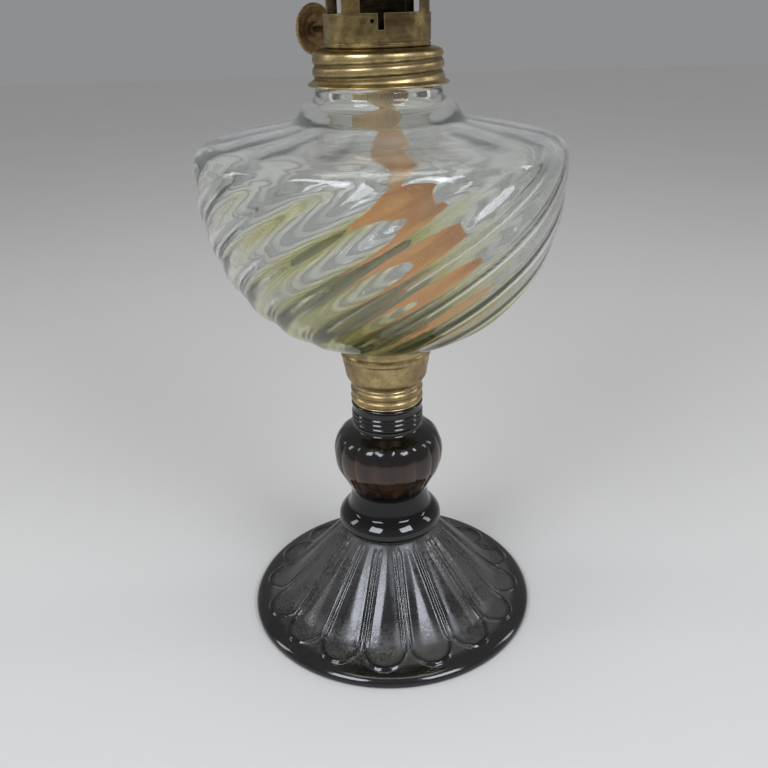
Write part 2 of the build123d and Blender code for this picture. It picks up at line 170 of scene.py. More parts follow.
def softLine(points, steps=6):
    # (radius, height, softness): 0 keeps a corner, 1 rounds it from middle to middle
    line = []
    count = len(points)
    for number, (r, z, soft) in enumerate(points):
        before, after = points[number - 1], points[(number + 1) % count]
        if soft <= 0 or number in (0, count - 1):
            line.append((r, z))
            continue
        start = (r + (before[0] - r) * soft / 2, z + (before[1] - z) * soft / 2)
        end = (r + (after[0] - r) * soft / 2, z + (after[1] - z) * soft / 2)
        for k in range(steps + 1):
            t = k / steps
            a, b, c = (1 - t) ** 2, 2 * t * (1 - t), t * t
            line.append((a * start[0] + b * r + c * end[0], a * start[1] + b * z + c * end[1]))
    return line


def evenLine(line, spacing, isFine=None, fine=None, least=1e-6):
    # same line with a point about every spacing millimetres, or every fine where isFine says so;
    # points nearer than least to the one before are left out, apart from the last
    dense = [line[0]]
    for b in line[1:]:
        a = dense[-1]
        length = sqrt((a[0] - b[0]) ** 2 + (a[1] - b[1]) ** 2)
        if length < (1e-6 if b == line[-1] else least):
            continue
        parts = max(1, round(length / (fine if isFine and isFine(*b) else spacing)))
        dense += [(a[0] + (b[0] - a[0]) * k / parts, a[1] + (b[1] - a[1]) * k / parts)
                  for k in range(1, parts + 1)]
    return dense


def linked(name, data):
    thing = bpy.data.objects.new(name, data)
    bpy.context.scene.collection.objects.link(thing)
    return thing


def meshPiece(name, points, faces, place=None, sharp=35, strip=None):
    # place is a matrix from the points' millimetres to metres, edges over the angle sharp stay sharp,
    # and strip is a flat place for each point
    mesh = bpy.data.meshes.new(name)
    mesh.from_pydata(points, [], faces)
    if strip:
        layer = mesh.uv_layers.new(name="strip")
        for loop in mesh.loops:
            layer.data[loop.index].uv = strip[loop.vertex_index]
    mesh.transform(place if place is not None else Matrix.Scale(mm, 4))
    cleanMesh(mesh, sharp)
    return linked(name, mesh)


def cleanMesh(mesh, sharp=35):
    body = bmesh.new()
    body.from_mesh(mesh)
    bmesh.ops.remove_doubles(body, verts=body.verts, dist=1e-7)
    bmesh.ops.recalc_face_normals(body, faces=body.faces)
    body.to_mesh(mesh)
    body.free()
    mesh.polygons.foreach_set("use_smooth", [True] * len(mesh.polygons))
    if sharp:
        mesh.set_sharp_from_angle(angle=radians(sharp))
    mesh.update()


def turned(name, outline, steps, place=None, sharp=35):
    # outline is a closed line of (radius, height), turned about Z; radius 0 makes a pole
    points, rings, faces = [], [], []
    for r, z in outline:
        if r < 1e-6:
            rings.append([len(points)] * steps)
            points.append((0, 0, z))
        else:
            rings.append(list(range(len(points), len(points) + steps)))
            points += [(r * cos(2 * pi * k / steps), r * sin(2 * pi * k / steps), z)
                       for k in range(steps)]
    for lower, upper in zip(rings, rings[1:] + rings[:1]):
        for k in range(steps):
            face = [lower[k], lower[(k + 1) % steps], upper[(k + 1) % steps], upper[k]]
            face = [v for i, v in enumerate(face) if v not in face[:i]]
            if len(face) > 2:
                faces.append(face)
    return meshPiece(name, points, faces, place, sharp)


def prism(name, corners, low, high, place=None):
    # upright block over a plan outline
    count = len(corners)
    points = [(x, y, low) for x, y in corners] + [(x, y, high) for x, y in corners]
    faces = [list(range(count))[::-1], list(range(count, 2 * count))]
    faces += [[k, (k + 1) % count, count + (k + 1) % count, count + k] for k in range(count)]
    return meshPiece(name, points, faces, place, sharp=30)


def boxCorners(x, y, out=0.0, turn=0.0):
    # a rectangle with its middle out from the axis, turned about the axis
    a = radians(turn)
    spots = [(out + sx * x / 2, sy * y / 2) for sx, sy in ((-1, -1), (1, -1), (1, 1), (-1, 1))]
    return [(u * cos(a) - v * sin(a), u * sin(a) + v * cos(a)) for u, v in spots]


def discCorners(radius, atX, atY, count=20):
    return [(atX + radius * cos(2 * pi * k / count), atY + radius * sin(2 * pi * k / count))
            for k in range(count)]


def joined(name, pieces):
    # one object from several, which are taken away
    body = bmesh.new()
    for piece in pieces:
        body.from_mesh(piece.data)
    mesh = bpy.data.meshes.new(name)
    body.to_mesh(mesh)
    body.free()
    for piece in pieces:
        bpy.data.objects.remove(piece)
    return linked(name, mesh)


def keepShape(piece):
    # turns what the modifiers show into the piece's own mesh
    shown = piece.evaluated_get(bpy.context.evaluated_depsgraph_get())
    mesh = bpy.data.meshes.new_from_object(shown)
    piece.modifiers.clear()
    piece.data = mesh


def cutOut(piece, cutters):
    # takes the cutters out of the piece
    tool = joined(piece.name + "Cut", cutters)
    change = piece.modifiers.new("cut", "BOOLEAN")
    change.object, change.operation, change.solver = tool, "DIFFERENCE", "EXACT"
    change.use_self = True
    keepShape(piece)
    bpy.data.objects.remove(tool)
    cleanMesh(piece.data)


def dress(piece, body, material, node):
    # material, body and slot of a finished piece, which stands in for the CAD node
    piece.data.materials.clear()
    piece.data.materials.append(material)
    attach(piece, body)
    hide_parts(node)


# geometry trees: the sizes are named inputs, and the tree ends in Realize Instances and Set Material

def startGroup(name, kind, inputs, outputs):
    # a tree of that kind with its sockets, which are numbers where nothing else is said
    tree = bpy.data.node_groups.new(name, kind)
    sorts = {"Geometry": "Geometry", "Material": "Material", "Place": "Vector", "teeth": "Int"}
    for side, labels in (("INPUT", inputs), ("OUTPUT", outputs)):
        for label in labels:
            tree.interface.new_socket(label, in_out=side, socket_type="NodeSocket" + sorts.get(label, "Float"))
    source = tree.nodes.new("NodeGroupInput")
    return tree, {label: flow(source, label) for label in inputs}


def startTree(name, *sizes):
    return startGroup(name, "GeometryNodeTree", ("Geometry", "Material", *sizes), ("Geometry",))


def endTree(shape, given):
    tree = shape.tree
    whole = addNode(tree, "GeometryNodeRealizeInstances", Geometry=shape)
    painted = addNode(tree, "GeometryNodeSetMaterial", Geometry=flow(whole), Material=given["Material"])
    addNode(tree, "NodeGroupOutput", Geometry=flow(painted))
    return tree


def runTree(piece, tree, sizes, material):
    change = piece.modifiers.new(tree.name, "NODES")
    change.node_group = tree
    for item in tree.interface.items_tree:
        if item.in_out == "INPUT" and item.name == "Material":
            change[item.identifier] = material
        elif item.in_out == "INPUT" and item.name in sizes:
            change[item.identifier] = sizes[item.name]
    keepShape(piece)


def placeFields(tree):
    # angle about Z in turns, and radius and height in millimetres
    x, y, z = splitUp(flow(tree.nodes.new("GeometryNodeInputPosition")))
    radius = (x * x + y * y) ** 0.5
    angle = y.math("ARCTAN2", x) / (2 * pi)
    return angle, radius / mm, z / mm


def pushOut(shape, amount):
    # moves the skin along its normal, by an amount in millimetres
    normal = flow(shape.tree.nodes.new("GeometryNodeInputNormal"))
    offset = scaled(normal, amount * mm)
    return flow(addNode(shape.tree, "GeometryNodeSetPosition", Geometry=shape, Offset=offset))


def addRelief(piece, low, high, tree, sizes, material, sharp=0):
    # runs a tree that reads "skin", which is 1 on the points from low to high and 0 on the rest
    mark = piece.data.attributes.new("skin", "FLOAT", "POINT")
    mark.data.foreach_set("value", [1.0 if low <= k < high else 0.0 for k in range(len(mark.data))])
    runTree(piece, tree, sizes, material)
    cleanMesh(piece.data, sharp)


def readMark(tree, name):
    # a value kept on the mesh
    return flow(addNode(tree, "GeometryNodeInputNamedAttribute", {"data_type": "FLOAT"}, Name=name))


def keepMark(shape, name, value):
    # writes a value on the mesh, for the material to read
    settings = {"data_type": "FLOAT", "domain": "POINT"}
    return flow(addNode(shape.tree, "GeometryNodeStoreNamedAttribute", settings, Geometry=shape, Name=name,
                        Value=value))


# camera and light

viewSizes = {
    "distance": 286.0,      # in front of the lamp's axis
    "height": 227.7,        # above the table
    "pitch": 24.54,         # looking down
    "roll": 1.60,
    "yaw": 0.20,
    "lens": 38.6,
}


def makeCamera():
    data = bpy.data.cameras.new("camera")
    data.lens, data.sensor_width = viewSizes["lens"], 36.0
    data.clip_start, data.clip_end = 0.01, 20.0
    camera = linked("camera", data)
    turn = (Matrix.Rotation(radians(viewSizes["yaw"]), 4, "Z")
            @ Matrix.Rotation(radians(90 - viewSizes["pitch"]), 4, "X")
            @ Matrix.Rotation(radians(-viewSizes["roll"]), 4, "Z"))
    spot = Vector((0, -viewSizes["distance"], viewSizes["height"])) * mm
    camera.matrix_world = Matrix.Translation(spot) @ turn
    bpy.context.scene.camera = camera


# name: place, size, watts, colour; every panel faces the middle of the font
panels = {
    "windowLeft": ((-370, -474, 590), (320, 260), 2.5, (0.86, 0.90, 1.0)),
    "windowRight": ((390, -460, 590), (320, 260), 2.5, (0.86, 0.90, 1.0)),
    "ceiling": ((0, -60, 1150), (700, 420), 2.4, (1.0, 0.98, 0.95)),
    "sideLeft": ((-780, 60, 460), (120, 320), 0.6, (1.0, 1.0, 1.0)),
    "sideRight": ((780, 120, 460), (120, 320), 0.6, (1.0, 1.0, 1.0)),
}


def makeLights():
    target = Vector((0, 0, 170)) * mm       # middle of the font
    for name, (place, size, watts, colour) in panels.items():
        data = bpy.data.lights.new(name, "AREA")
        data.shape = "RECTANGLE"
        data.size, data.size_y = size[0] * mm, size[1] * mm
        data.energy, data.color = watts, colour
        lamp = linked(name, data)
        lamp.location = Vector(place) * mm
        lamp.rotation_euler = (target - lamp.location).to_track_quat("-Z", "Y").to_euler()
        lamp.visible_transmission = not name.startswith("side")     # not seen through the chimney


roomLook = {
    "seen": (0.27, 0.273, 0.28),    # what the camera, gloss and glass see behind the lamp
    "cast": (0.96, 0.98, 1.0),      # what lights the lamp
    "castStrength": 0.44,
    "floor": (0.62, 0.61, 0.59),
    "floorSize": 6000.0,
}


def makeRoom():
    world = bpy.data.worlds.new("studio")
    bpy.context.scene.world = world
    world.use_nodes = True
    tree = world.node_tree
    tree.nodes.clear()
    path = tree.nodes.new("ShaderNodeLightPath")
    straight = flow(path, "Is Camera Ray").math("MAXIMUM", flow(path, "Is Glossy Ray"))
    seen = straight.math("MAXIMUM", flow(path, "Is Transmission Ray"))
    shown = addNode(tree, "ShaderNodeBackground", Color=(*roomLook["seen"], 1), Strength=1.0)
    cast = addNode(tree, "ShaderNodeBackground", Color=(*roomLook["cast"], 1),
                   Strength=roomLook["castStrength"])
    mix = tree.nodes.new("ShaderNodeMixShader")
    for slot, value in zip(mix.inputs, (seen, flow(cast), flow(shown))):
        setSocket(tree, slot, value)
    addNode(tree, "ShaderNodeOutputWorld", Surface=flow(mix))

    half = roomLook["floorSize"] / 2
    corners = [(-half, -half, 0), (half, -half, 0), (half, half, 0), (-half, half, 0)]
    floor = meshPiece("floor", corners, [[0, 1, 2, 3]])
    material, shader, place = newMaterial("paleFloor")
    grain = noise(place, 6.0, 3.0, 0.5).rise(0.3, 0.7, 0.985, 1.0)
    put(shader, Base_Color=scaled(roomLook["floor"], grain), Roughness=0.7)
    floor.data.materials.append(material)


# materials

def newMaterial(name):
    # the material, its shader, and object coordinates in metres
    material = bpy.data.materials.new(name)
    material.use_nodes = True
    place = flow(material.node_tree.nodes.new("ShaderNodeTexCoord"), "Object")
    return material, material.node_tree.nodes["Principled BSDF"], place


def drawnOut(place, upright):
    # coordinates in which a pattern is drawn out (below 1) or pressed flat (over 1) along the upright
    return flow(addNode(place.tree, "ShaderNodeMapping", Vector=place, Scale=(1, 1, upright)))


def noise(place, scale, detail=4.0, rough=0.55):
    return flow(addNode(place.tree, "ShaderNodeTexNoise", Vector=place, Scale=scale, Detail=detail,
                        Roughness=rough), "Fac")


def layered(base, *layers):
    # lays each (mask, colour) over what is under it
    for mask, colour in layers:
        node = addNode(mask.tree, "ShaderNodeMix", {"data_type": "RGBA"})
        for slot, value in ((0, mask), (6, base), (7, colour)):
            setSocket(mask.tree, node.inputs[slot], (*value, 1) if isinstance(value, tuple) else value)
        base = flow(node, 2)
    return base


def bumpFrom(height, distance, strength=1.0):
    return flow(addNode(height.tree, "ShaderNodeBump", Height=height, Distance=distance * mm,
                        Strength=strength))


def markOf(tree, name):
    # a value written on the mesh, 0 where there is none
    return flow(addNode(tree, "ShaderNodeAttribute", {"attribute_name": name}), "Fac")


def put(shader, **values):
    # plain values and flows into the shader's sockets, with _ for a space
    for key, value in values.items():
        slot = shader.inputs[key.replace("_", " ")]
        if isinstance(value, tuple) and len(value) == 3 and slot.type == "RGBA":
            value = (*value, 1)
        setSocket(shader.id_data, slot, value)


def useGroup(name, place, **values):
    # the masks of one of the groups below, by name
    node = addNode(place.tree, "ShaderNodeGroup", {"node_tree": groups[name]}, Place=place, **values)
    return {slot.name: Flow(place.tree, slot) for slot in node.outputs}


def makeWearGroup():
    # edges that fingers keep bright: 1 on worn edges
    tree, given = startGroup("edgeWear", "ShaderNodeTree", ("Width", "Patchy", "Place"), ("Mask",))
    bevel = addNode(tree, "ShaderNodeBevel", {"samples": 6}, Radius=given["Width"])
    facing = addNode(tree, "ShaderNodeVectorMath", {"operation": "DOT_PRODUCT"}, Vector=flow(bevel))
    setSocket(tree, facing.inputs[1], flow(tree.nodes.new("ShaderNodeNewGeometry"), "Normal"))
    bent = 1 - flow(facing, "Value")
    patches = noise(given["Place"], 420.0, 3.0).rise(0.35, 0.7)
    mask = bent.rise(0.01, 0.16) * (1 - given["Patchy"] * (1 - patches))
    addNode(tree, "NodeGroupOutput", Mask=mask)
    return tree


def makeTarnishGroup():
    # brown and olive stains on old brass, with fine pits
    tree, given = startGroup("brassAge", "ShaderNodeTree", ("Place", "Amount"),
                             ("Stain", "Blotch", "Pits", "Streak"))
    place = given["Place"]
    wide = noise(place, 55.0, 5.0, 0.6)
    fine = noise(place, 330.0, 6.0, 0.65)
    stain = (wide * 0.62 + fine * 0.38 + given["Amount"] * 0.3 - 0.15).rise(0.36, 0.66)
    blotch = noise(place, 120.0, 4.0, 0.7).rise(0.52, 0.68)
    pits = noise(place, 1500.0, 2.0, 0.5).rise(0.62, 0.74)
    streak = noise(drawnOut(place, 14.0), 90.0, 4.0, 0.6)
    addNode(tree, "NodeGroupOutput", Stain=stain, Blotch=blotch, Pits=pits, Streak=streak)
    return tree


def makeDustGroup():
    # dust that settles where a surface faces up
    tree, given = startGroup("settledDust", "ShaderNodeTree", ("Place", "Amount"), ("Mask",))
    normal = flow(tree.nodes.new("ShaderNodeNewGeometry"), "Normal")
    up = splitUp(normal)[2].rise(-0.1, 0.75)
    specks = noise(given["Place"], 900.0, 4.0, 0.7).rise(0.35, 0.65)
    film = noise(given["Place"], 60.0, 4.0, 0.6).rise(0.25, 0.75)
    addNode(tree, "NodeGroupOutput", Mask=up * (film * 0.6 + specks * 0.4) * given["Amount"])
    return tree


groups = {"wear": makeWearGroup(), "age": makeTarnishGroup(), "dust": makeDustGroup()}


def agedBrass(name, bright, dull, amount, rough, wear=0.6):
    # brass with stains, blotches, pits, bright worn edges, and painted shade with grime in the grooves
    material, shader, place = newMaterial(name)
    age = useGroup("age", place, Amount=amount)
    worn = useGroup("wear", place, Width=0.0007, Patchy=0.4)["Mask"]
    # painted shade with grime: the colour is darkened along the grooves
    groove = markOf(place.tree, "groove").rise(0.2, 0.8)
    base = layered(bright,
                   (age["Stain"], dull),
                   (age["Blotch"] * 0.6, (0.16, 0.115, 0.05)),
                   (age["Streak"].rise(0.35, 0.75) * 0.25, (0.5, 0.40, 0.22)),
                   (worn * wear, (0.86, 0.70, 0.38)),
                   (age["Pits"] * 0.6, (0.05, 0.035, 0.02)),
                   (groove * 0.75, (0.085, 0.055, 0.025)))
    roughness = age["Stain"] * 0.16 + age["Streak"] * 0.12 + (rough - 0.1) - worn * 0.1 + groove * 0.15
    height = age["Stain"] * -0.2 + age["Pits"] * -0.8 + age["Streak"] * 0.3
    put(shader, Base_Color=base, Metallic=1.0, Roughness=roughness,
        Normal=bumpFrom(height, 0.05, 0.5))
    return material


def clearGlass():
    # grey-green glass with a dusty film, and a yellow stain low in the font
    material, shader, place = newMaterial("clearGlass")
    x, y, z = splitUp(place)
    height, base, widest = z / mm, bottomOf("font"), fontSizes["widest"]
    patches = noise(place, 45.0, 5.0, 0.6).rise(0.3, 0.72)
    stain = (1 - height.rise(base + 17, base + 52)) * (patches * 0.4 + 0.6)
    dregs = (1 - height.rise(base + 13, base + 26)) * (patches * 0.3 + 0.7)
    tone = layered((0.91, 0.93, 0.89), (noise(place, 22.0, 3.0), (0.955, 0.965, 0.94)),
                   (stain, (0.62, 0.58, 0.10)), (dregs, (0.38, 0.37, 0.03)))
    dust = useGroup("dust", place, Amount=1.0)["Mask"]
    dust = dust * height.rise(widest - 4, widest + 6)
    smear = noise(drawnOut(place, 2.2), 30.0, 6.0, 0.62).rise(0.40, 0.70)
    oily = 1 - height.rise(128, 172)                # the oil left a film inside, low in the bowl
    rough = smear * (oily * 0.10 + 0.03) + oily * 0.035 + dust * 0.10 + 0.01
    rings = addNode(place.tree, "ShaderNodeCombineXYZ", X=(x * x + y * y) ** 0.5, Y=x * 0.12, Z=z)
    rings = noise(flow(rings), 260.0, 2.0, 0.5) * height.rise(widest + 2, widest + 7)
    waves = noise(place, 60.0, 2.0, 0.5) + rings * 0.7    # drawn rings on the shoulder
    put(shader, Base_Color=tone, Transmission_Weight=0.97, IOR=1.5, Specular_IOR_Level=0.95, Roughness=rough,
        Sheen_Weight=dust * 0.35 + 0.05, Sheen_Roughness=0.5, Normal=bumpFrom(waves, 0.14, 0.5))
    return material


def flueGlass():
    material, shader, place = newMaterial("flueGlass")
    smear = noise(drawnOut(place, 0.3), 30.0, 4.0, 0.6).rise(0.45, 0.8)
    tint = layered((0.97, 0.985, 0.975), (noise(place, 14.0), (0.99, 0.995, 0.99)))
    put(shader, Base_Color=tint, Transmission_Weight=1.0, IOR=1.47, Roughness=smear * 0.03,
        Normal=bumpFrom(noise(place, 40.0, 2.0), 0.15, 0.4))
    return material


def darkGlass():
    # near-black glass, amber where light gets through the bulb, dusty on the sides of the flare
    material, shader, place = newMaterial("darkGlass")
    x, y, z = splitUp(place)
    depth, height, radius = y / mm, z / mm, (x * x + y * y) ** 0.5 / mm
    settled = useGroup("dust", place, Amount=1.0)["Mask"]
    unwiped = depth.rise(-40, -6, 0.22, 1.0)                # the front is wiped, the rest is left alone
    unwiped = unwiped.math("MAXIMUM", radius.rise(33, 44, 0.0, 0.85)) * (1 - radius.rise(49.5, 52.5) * 0.8)
    dust = (settled * 1.7).math("MINIMUM", 1.0) * (1 - height.rise(36, 44)) * unwiped
    dust = dust * (1 - markOf(place.tree, "bead") * 0.8)
    bulb = height.rise(54, 60)                              # drawn upright by the mould
    streaks = noise(drawnOut(place, 0.12), 190.0, 3.0).rise(0.4, 0.65)
    amber = bulb * (1 - height.rise(64, 78)) * (streaks * 0.7 + 0.3)
    tone = layered((0.0045, 0.0045, 0.0055), (amber, (0.10, 0.038, 0.012)),
                   (height.rise(70, 78) * 0.5, (0.010, 0.006, 0.005)), (dust * 0.75, (0.135, 0.13, 0.12)))
    waist = height.band(42, 45, 54, 58)                         # painted shade: the reflection is turned down in the hollow of the waist
    drawn = noise(drawnOut(place, 0.05), 380.0, 2.0) * bulb * 1.5
    put(shader, Base_Color=tone, Transmission_Weight=0.5, IOR=1.54,
        Roughness=dust * 0.42 + bulb * 0.08 + 0.04, Specular_IOR_Level=0.62 - waist * 0.38,
        Normal=bumpFrom(noise(place, 130.0, 3.0) + drawn, 0.14, 0.5))
    return material


def oldOil():
    material, shader, place = newMaterial("oldOil")
    murk = noise(place, 50.0, 4.0).rise(0.3, 0.7)
    base = layered((0.42, 0.41, 0.07), (murk, (0.22, 0.24, 0.04)))
    put(shader, Base_Color=base, Transmission_Weight=0.3, IOR=1.4, Specular_IOR_Level=0.3,
        Roughness=murk * 0.1 + 0.15)
    return material


def plaster():
    material, shader, place = newMaterial("plaster")
    grit = noise(place, 900.0, 6.0, 0.7)
    stain = noise(place, 90.0, 4.0).rise(0.4, 0.7)
    base = layered((0.66, 0.60, 0.48), (stain, (0.40, 0.33, 0.22)))
    put(shader, Base_Color=base, Roughness=grit * 0.2 + 0.75, Normal=bumpFrom(grit, 0.12))
    return material


def wickCotton():
    # woven cotton, soaked orange-tan, with a charred top edge; the weave follows the strip's own map
    material, shader, place = newMaterial("wickCotton")
    strip = flow(addNode(place.tree, "ShaderNodeUVMap", {"uv_map": "strip"}))
    across, along = splitUp(strip)[:2]            # millimetres
    warp = (across * (2 * pi / 1.3)).sin()
    weft = (along * (2 * pi / 1.1)).sin() * (across * (pi / 1.3)).sin()
    fuzz = noise(place, 1600.0, 4.0, 0.7)
    height = warp * 0.5 + weft * 0.35 + fuzz * 0.7
    soaked = noise(place, 45.0, 4.0, 0.6).rise(0.3, 0.7)
    level = splitUp(place)[2] / mm
    dry = (level + noise(place, 70.0, 3.0) * 20).rise(184, 204)
    between = (1 - height.rise(-0.4, 0.9)) * 0.45       # shade between the threads
    charred = level.rise(topOf("wick") - 2.5, topOf("wick") - 0.8)
    base = layered((1.0, 0.48, 0.08), (soaked, (0.93, 0.34, 0.03)), (dry, (1.0, 0.72, 0.34)),
                   (between, (0.40, 0.17, 0.055)), (charred, (0.012, 0.010, 0.009)))
    put(shader, Base_Color=base, Roughness=fuzz * 0.15 + 0.78, Sheen_Weight=0.25,
        Normal=bumpFrom(height, 0.18))
    return material


# glass stand

standSizes = {
    "petals": 16.0, "petalTurn": -4.0,      # turn of the first petal from the front
    "petalReach": 52.8, "petalSpace": 0.8,  # outer end of a petal, and the groove between two
    "bead": 1.2, "beadRise": 1.0,           # raised edge round each petal
    "pillow": 0.4,                          # swell of the petal inside its edge
    "fluteDepth": 0.65,                     # grooves down the bulb
    "footRing": 5.0, "neck": 13.1, "neckLow": 80.2,
    "neckRings": (.27, .44, .60, .93),      # as shares of the neck's height
    "steps": 432,
}


def standOutline():
    # from the pole of the hollow round the foot to the top of the peg
    rim, top, high = reachOf("pedestal"), topOf("pedestal"), bottomOf("connector_sleeve")
    neck, low, peg = standSizes["neck"], standSizes["neckLow"], standSizes["neck"] - 1.4
    hollow = [(0, 36.7, 0), (8, 36.6, .8), (14.6, 31.8, .8), (42.5, 3.6, .7), (rim - 8, .9, .6),
              (rim - standSizes["footRing"], 0.0, 0)]
    skin = [(hollow[-1][0], 0, 0), (rim - 1.2, 0, .5), (rim, .4, .6), (rim, 2.2, .8), (rim - 1.6, 3.6, .6),
            (standSizes["petalReach"], 4.4, .7), (45.4, 5.7, .8), (41.5, 8.9, .7), (30, 21.8, .4),
            (17.9, 35.4, .25), (17.4, 37.3, .5), (19.6, 37.5, .6), (20.6, 38.6, .8), (20.5, 41.4, .9),
            (18.4, 43.9, .8), (16.4, 45.4, .8), (15.5, 49.0, .8), (15.1, 53.4, .6), (17.6, 58.4, .9),
            (20.9, 64.2, .9), (21.5, 71.5, .9), (19.2, 77.4, .9), (14.6, 79.8, .8), (neck, 80.9, .6)]
    for share in standSizes["neckRings"]:
        middle = low + (high - low) * share
        skin += [(neck, middle - .75, .4), (neck + .58, middle - .25, .7), (neck + .58, middle + .25, .7),
                 (neck, middle + .75, .4)]
    skin += [(neck, high, 0), (peg, high, 0), (peg, top - .8, .6), (peg - .6, top, .6), (0, top, 0)]
    return hollow, skin


def petalTree():
    # petals with raised edges on the flare, and grooves down the bulb
    tree, given = startTree("petalSkin", "petals", "petalTurn", "petalReach", "petalSpace", "bead",
                            "beadRise", "pillow", "fluteDepth")
    angle, radius, height = placeFields(tree)
    count, reach, space = given["petals"], given["petalReach"], given["petalSpace"]
    around = (angle + 0.25 - given["petalTurn"] / 360) * count
    across = ((around + 0.5).fract() - 0.5).abs()          # 0 on a petal's middle, 0.5 between two
    aside = across * radius * 2 * pi / count
    pitch = (1 / count * pi).sin()
    endRadius = (reach * pitch - space * 0.5) / (pitch + 1)
    centre = reach - endRadius
    sideGap = aside - (radius * pi / count - space * 0.5)
    endGap = (aside * aside + (radius - centre) ** 2) ** 0.5 - endRadius
    beyond = (radius - centre).rise(-0.8, 0.8)
    gap = sideGap * (1 - beyond) + endGap * beyond          # below 0 inside a petal
    onFlare = radius.rise(18.4, 21.0) * height.band(1.5, 3.0, 34.4, 35.8)
    edge = ((gap / given["bead"] + 0.5) / radius.rise(40.0, 50.0, 0.42, 0.62)).abs() ** 2
    edge = (edge * -1).math("EXPONENT") * radius.rise(30.0, 46.0, 0.55, 1.0)
    swell = 1 - gap.rise(-5.5, -1.0)
    petals = (edge * given["beadRise"] + swell * given["pillow"]) * onFlare
    shape = keepMark(given["Geometry"], "bead", edge * onFlare)
    groove = 1 - ((around + 0.5) * pi).sin().abs() ** 0.45
    onBulb = height.band(55.0, 60.0, 75.0, 79.5)
    amount = (petals - groove * given["fluteDepth"] * onBulb) * readMark(tree, "skin")
    return endTree(pushOut(shape, amount), given)


def makeStand(material):
    hollow, skin = standOutline()
    inner = evenLine(softLine(hollow), 3.0, least=1.0)
    outer = evenLine(softLine(skin, 8), 1.2, lambda r, z: r > 42 and z > 3, 0.55, least=0.4)[1:]
    steps = standSizes["steps"]
    piece = turned("standGlass", inner + outer, steps, sharp=0)
    first = (len(inner) - 1) * steps + 1        # the pole is one point
    addRelief(piece, first, len(piece.data.vertices) - 1, petalTree(), standSizes, material)
    dress(piece, "lamp", material, "pedestal")


# brass between stand and font

connectorSizes = {"sheet": 0.5, "bead": 0.5, "seat": 4.0, "steps": 128}    # seat of the cup on the sleeve


def beads(radius, heights, width, out):
    # round beads on a wall, going up
    line = []
    for z in heights:
        line += [(radius, z - width * .5, .4), (radius + out * 1.15, z - width * .2, .8),
                 (radius + out * 1.15, z + width * .2, .8), (radius, z + width * .5, .4)]
    return line


def makeConnector(material):
    sheet, bead = connectorSizes["sheet"], connectorSizes["bead"]
    low, high = spanOf("connector_sleeve")
    r = reachOf("connector_sleeve") - bead
    hole = r - connectorSizes["seat"]
    wall = [(r - sheet, low, 0), (r - .05, low, 0), (r + .2, low + .3, .6)]
    wall += beads(r, (low + 1.8, low + 5.1), 2.6, bead)
    wall += [(r, high - .9, .5), (r + .2, high - .3, .5), (r, high, 0), (hole, high, 0),
             (hole, high - sheet, 0), (r - sheet, high - sheet, .4), (r - sheet, low, 0)]
    sleeve = turned("connectorSleeve", softLine(wall), connectorSizes["steps"], sharp=50)
    dress(sleeve, "lamp", material, "connector_sleeve")

    low, high = spanOf("connector_cup")
    rim = reachOf("connector_cup") - bead
    skin = [(hole, low, 0), (r + .2, low, .5), (r + .5, low + 1.0, .6), (rim - 1.5, low + 2.4, .8),
            (rim - 1.0, low + 3.8, .8), (rim - .9, low + 5.6, .6), (rim - .1, low + 9.4, .5)]
    skin += beads(rim - .1, (high - 4.7,), 3.0, bead)
    skin += [(rim - .1, high - 2.2, .5), (rim + .45, high - .8, .7), (rim + .1, high, .5),
             (rim - sheet, high, 0), (rim - sheet - .1, low + 9.6, .6), (rim - 1.5, low + 5.4, .8),
             (r + .4, low + 1.6, .7), (r - .1, low + sheet, .4), (hole, low + sheet, 0)]
    cup = turned("connectorCup", softLine(skin), connectorSizes["steps"], sharp=50)
    dress(cup, "lamp", material, "connector_cup")


# glass font

fontSizes = {
    "swirls": 16.0, "swirlTurn": 106.0,             # ribs, and how far each turns on its way up
    "swirlHeight": 0.9, "innerHeight": 1.3,         # outside and inside the wall
    "swirlLow": 118.0, "swirlHigh": 184.0,
    "ripple": 0.12,                                 # unevenness of hand-pressed glass
    "seams": 3, "seamTurn": 75.0, "seamHeight": 0.07,   # upright seams left by the mould
    "radius": 62.3, "widest": 181.0,                # of the bowl, at the height where it is widest
    "peg": 11.0, "bowlDepth": 67.0, "bowlPower": 2.4, "wall": 3.0, "steps": 384,
}


def angleOf(sine):
    # in radians, a quarter turn where the sine would be over 1
    return atan2(sine, sqrt(max(1e-9, 1 - sine * sine)))


def bowlLine(radius, depth, start, count):
    # superellipse from height start up to the widest line
    widest = fontSizes["widest"]
    first = angleOf((widest - start) / depth)
    line = []
    for k in range(count + 1):
        share = sin(first * (1 - k / count))
        line.append((radius * sqrt(max(0.0, 1 - share ** fontSizes["bowlPower"])), widest - depth * share))
    return line


